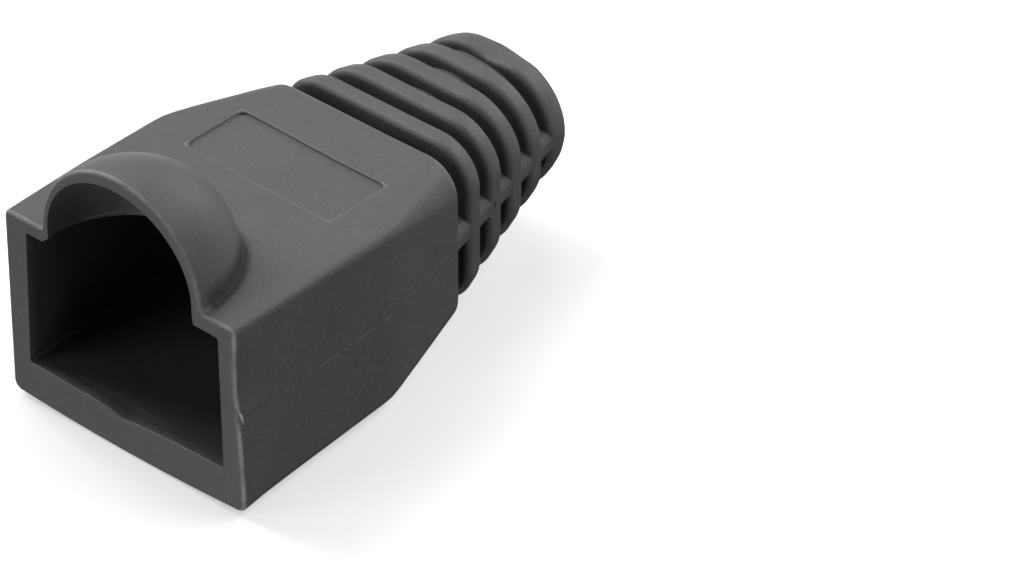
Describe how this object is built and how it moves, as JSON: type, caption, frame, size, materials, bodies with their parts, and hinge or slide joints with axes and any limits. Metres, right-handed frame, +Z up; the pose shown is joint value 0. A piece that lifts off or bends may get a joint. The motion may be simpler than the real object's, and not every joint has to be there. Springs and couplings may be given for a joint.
{
  "type": "rj45 strain relief boot",
  "caption": "One-piece moulded strain relief boot: hollow plug sleeve with a latch-guard hood, recessed label panel and a ribbed oval tail around a round cable hole.",
  "frame": {"origin": "on the underside plane, in the plane of the mouth rim, midway across the width", "axes": "+X across the width (to the right when looking into the mouth), +Y along the length from the mouth to the cable end, +Z up from the flat underside towards the latch hood"},
  "size_m": [0.0144, 0.0264, 0.0151],
  "materials": {
    "pvc_grey": "matte moulded flexible PVC, dark grey, fine grain"
  },
  "bodies": {
    "root": {"boot": "pvc_grey"}
  },
  "joints": []
}
